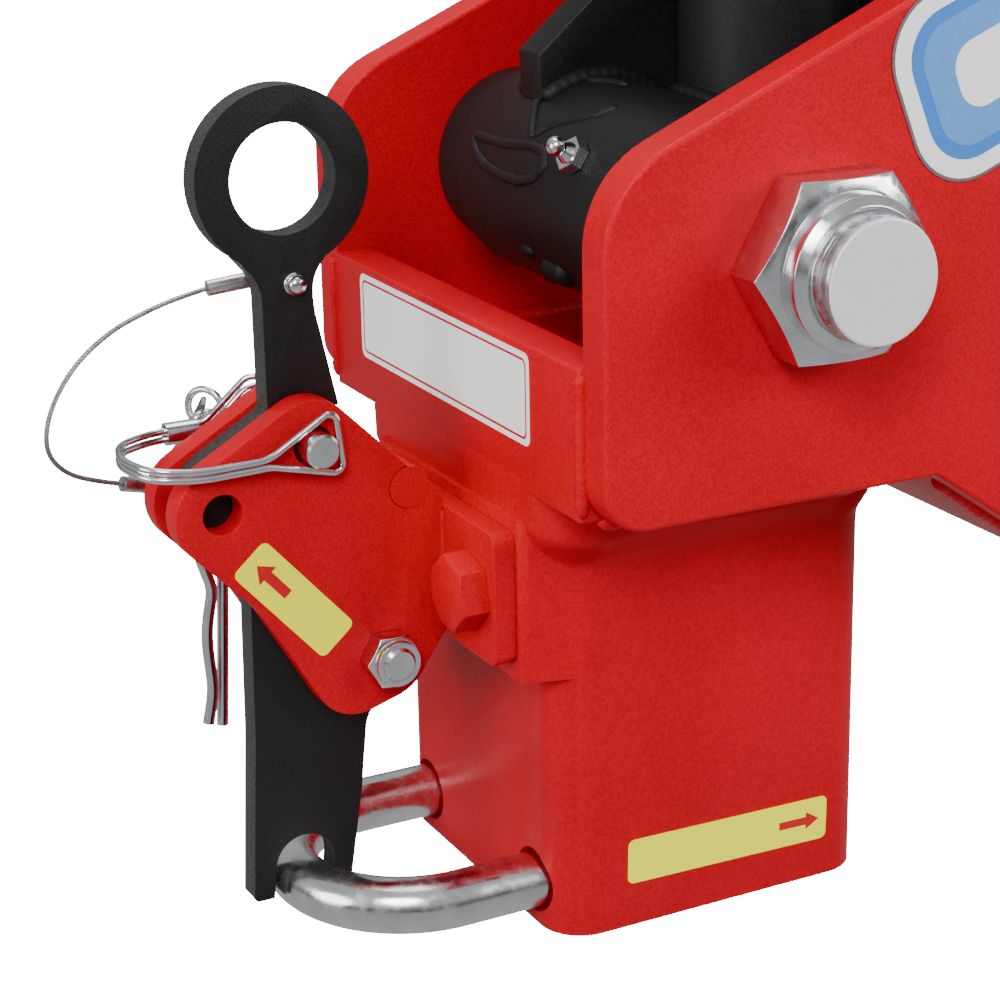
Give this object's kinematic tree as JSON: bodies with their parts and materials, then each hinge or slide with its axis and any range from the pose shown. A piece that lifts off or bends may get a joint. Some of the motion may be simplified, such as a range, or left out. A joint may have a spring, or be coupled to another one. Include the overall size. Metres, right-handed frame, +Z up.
{
  "type": "gooseneck coupler",
  "caption": "Gooseneck trailer coupler head: cast ball socket with lever-driven U-rod latch and lock pin, under a yoke with a pivoting, air-cushioned arm",
  "frame": {"origin": "centre of the seated hitch ball, on the ball socket's axis", "axes": "+Z up along the socket's axis away from its mouth, +X away from the latch lever towards the air spring, +Y across the yoke to the pivot bolt's head side"},
  "size_m": [0.4302, 0.2245, 0.3313],
  "materials": {
    "red_powder_coat": "bright red fine textured powder coat",
    "red_cast_steel": "red painted cast steel, coarse grain",
    "red_hardware": "red painted fasteners",
    "black_lever_coat": "pebbled black powder coat",
    "black_arm_coat": "satin black powder coat",
    "zinc_steel": "bright zinc plate",
    "aluminium_crimp": "dull crimped sleeve",
    "steel_cable": "stranded wire rope",
    "bronze": "sintered bronze",
    "dark_polymer": "satin black",
    "black_rubber": "moulded rubber bellows",
    "brass_fitting": "machined"
  },
  "bodies": {
    "coupler": {"near_cheek_plate": "red_powder_coat", "far_cheek_plate": "red_powder_coat", "front_cross_plate": "red_powder_coat", "floor_plate": "red_powder_coat", "slope_plate": "red_powder_coat", "rear_seat_plate": "red_powder_coat", "rear_cross_plate": "red_powder_coat", "bracket_base_plate": "red_powder_coat", "bracket_spacer": "red_powder_coat", "near_bracket_plate": "red_powder_coat", "far_bracket_plate": "red_powder_coat", "bracket_bolts": "red_powder_coat", "coupler_block": "red_cast_steel", "lever_pivot_bolt": "red_hardware", "lever_pivot_nut": "red_hardware", "split_ring": "zinc_steel", "pivot_bolt": "zinc_steel", "pivot_locknut": "zinc_steel", "lower_ferrule": "aluminium_crimp", "lanyard_cable": "steel_cable", "lanyard_eye": "steel_cable", "thrust_washers": "dark_polymer", "lower_bead_plate": "zinc_steel", "bellows_hoop": "zinc_steel", "bag_lower_bolts": "zinc_steel", "air_bellows": "black_rubber"},
    "lever": {"lever_handle": "black_lever_coat", "lanyard_rivet": "zinc_steel", "upper_ferrule": "aluminium_crimp"},
    "latch_rod": {"u_latch_rod": "zinc_steel"},
    "lock_pin": {"lock_pin": "zinc_steel"},
    "bail": {"wire_bail": "zinc_steel", "bail_sleeve": "zinc_steel"},
    "hairpin_clip": {"r_clip": "zinc_steel"},
    "arm": {"pivot_tube": "black_arm_coat", "pivot_bushings": "bronze", "grease_fitting": "zinc_steel", "stem_tube": "black_arm_coat", "far_arm_gusset": "black_arm_coat", "near_arm_gusset": "black_arm_coat", "arm_top_flange": "black_arm_coat", "arm_bag_plate": "black_arm_coat", "upper_bead_plate": "zinc_steel", "bag_upper_bolts": "zinc_steel", "air_fitting": "brass_fitting"}
  },
  "joints": [
    {"name": "lever_hinge", "type": "hinge", "parent": "coupler", "child": "lever", "pos_m": [-0.084, 0, 0.0515], "axis": [0, -1, 0], "range_deg": [0, 26.4], "deforming": ["lanyard_cable"]},
    {"name": "latch_slide", "type": "slide", "parent": "coupler", "child": "latch_rod", "axis": [1, 0, 0], "range_m": [0, 0.0311]},
    {"name": "pin_slide", "type": "slide", "parent": "coupler", "child": "lock_pin", "axis": [0, 1, 0], "range_m": [0, 0.0451]},
    {"name": "bail_swing", "type": "hinge", "parent": "lock_pin", "child": "bail", "pos_m": [-0.103, 0.017, 0.115], "axis": [0, 0, -1], "range_deg": [0, 100], "deforming": ["wire_bail", "bail_sleeve"]},
    {"name": "clip_swing", "type": "hinge", "parent": "coupler", "child": "hairpin_clip", "pos_m": [-0.1176, 0.0294, 0.1117], "axis": [0, 1, 0], "range_deg": [-14, 14]},
    {"name": "arm_tilt", "type": "hinge", "parent": "coupler", "child": "arm", "pos_m": [0.0049, 0, 0.1672], "axis": [0, -1, 0], "range_deg": [-5, 5], "stiffness_Nm_per_rad": 4000, "deforming": ["air_bellows", "bellows_hoop"]}
  ],
  "couplings": [
    {"joint": "latch_slide", "follows": "lever_hinge", "m_per_rad": 0.06728},
    {"joint": "pin_slide", "follows": "bail_swing", "m_per_rad": 0.02578}
  ]
}
